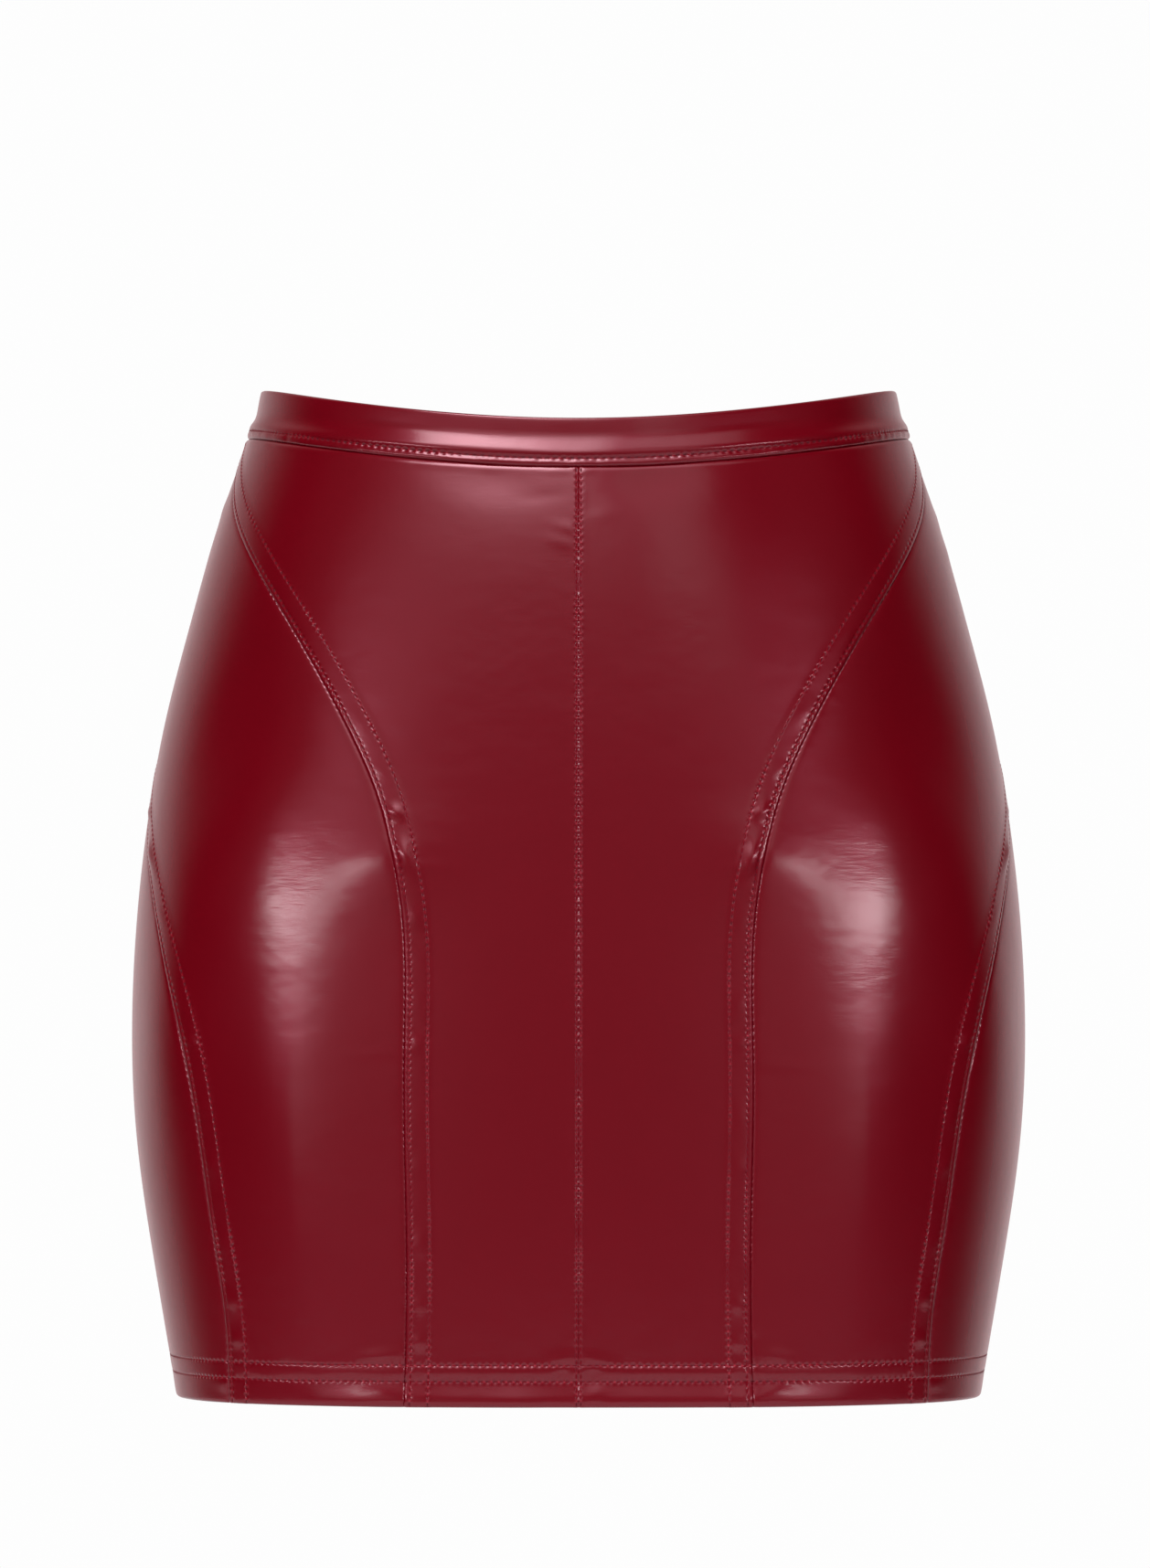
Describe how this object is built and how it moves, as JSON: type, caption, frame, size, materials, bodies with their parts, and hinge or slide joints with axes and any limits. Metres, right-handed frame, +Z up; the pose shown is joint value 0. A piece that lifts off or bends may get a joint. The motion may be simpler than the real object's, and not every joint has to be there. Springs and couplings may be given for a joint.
{
  "type": "leather skirt",
  "caption": "Short fitted leather skirt in worn form, a hollow tube with curved panel seams, a folded waistband and a concealed centre-back zip.",
  "frame": {"origin": "centre of the waist opening, level with the sides of the waistband's top edge", "axes": "+Z up towards the waist, the front faces -Y, +X is to the right of someone looking at the front"},
  "size_m": [0.35, 0.2326, 0.3928],
  "materials": {
    "leather": "gloss",
    "zip_tape": "matte",
    "zip_metal": "satin",
    "thread": "satin"
  },
  "bodies": {
    "skirt": {"waistband": "leather", "front_panel_left": "leather", "front_panel_right": "leather", "hip_panel_left": "leather", "hip_panel_right": "leather", "back_panel_left": "leather", "back_panel_right": "leather", "zip_tape_left": "zip_tape", "zip_tape_right": "zip_tape", "zip_slider": "zip_metal"},
    "zip_pull": {"zip_pull": "zip_metal"}
  },
  "joints": [
    {"name": "pull_swing", "type": "hinge", "parent": "skirt", "child": "zip_pull", "pos_m": [0, 0.0982, -0.01394], "axis": [1, 0, 0], "range_deg": [0, 170]}
  ]
}
